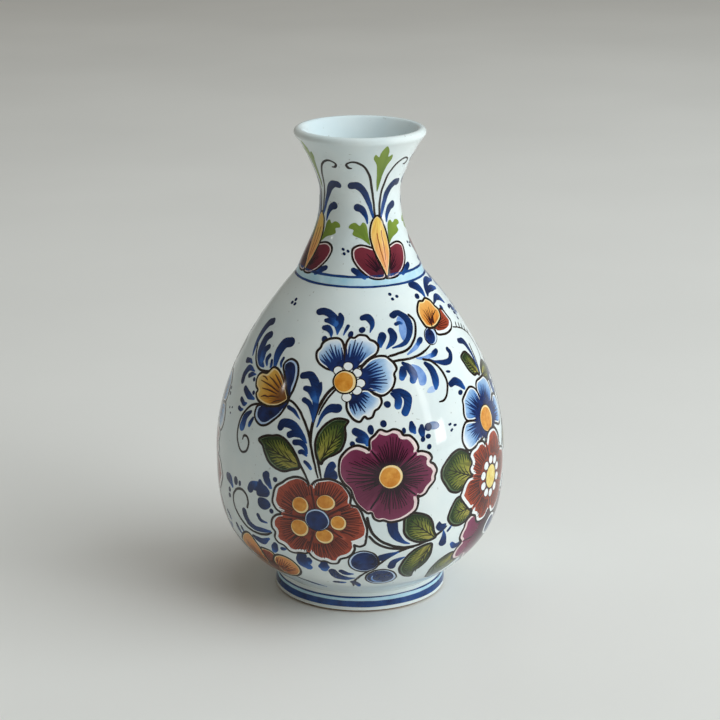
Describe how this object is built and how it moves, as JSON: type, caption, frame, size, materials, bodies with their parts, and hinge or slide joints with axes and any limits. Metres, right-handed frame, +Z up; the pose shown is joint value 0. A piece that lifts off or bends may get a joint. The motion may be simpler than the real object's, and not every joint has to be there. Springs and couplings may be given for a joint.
{
  "type": "flower vase",
  "caption": "Glazed earthenware bottle vase with a round belly, a narrow neck, a flared lip and a bare foot ring, hand-painted with flowers.",
  "frame": {"origin": "on the table under the vase's axis, at the bottom of the foot ring", "axes": "+Z up along the axis towards the mouth, -Y towards the front of the painting, +X to its right"},
  "size_m": [0.1104, 0.1104, 0.18],
  "materials": {
    "bare_clay": "matt, unglazed",
    "clay": "matt, under the glaze",
    "white_glaze": "glossy bluish white",
    "inner_glaze": "glossy bluish white",
    "blue_line": "glossy cobalt blue",
    "blue_wash": "glossy pale blue"
  },
  "bodies": {
    "root": {"foot_ring": "bare_clay", "belly": "clay", "neck": "clay", "outer_glaze": "white_glaze", "inner_glaze": "inner_glaze", "base_glaze": "inner_glaze", "shoulder_line_lower": "blue_line", "shoulder_line_upper": "blue_line", "shoulder_wash": "blue_wash", "foot_band": "blue_line", "foot_line": "blue_line", "foot_wash": "blue_wash"}
  },
  "joints": []
}
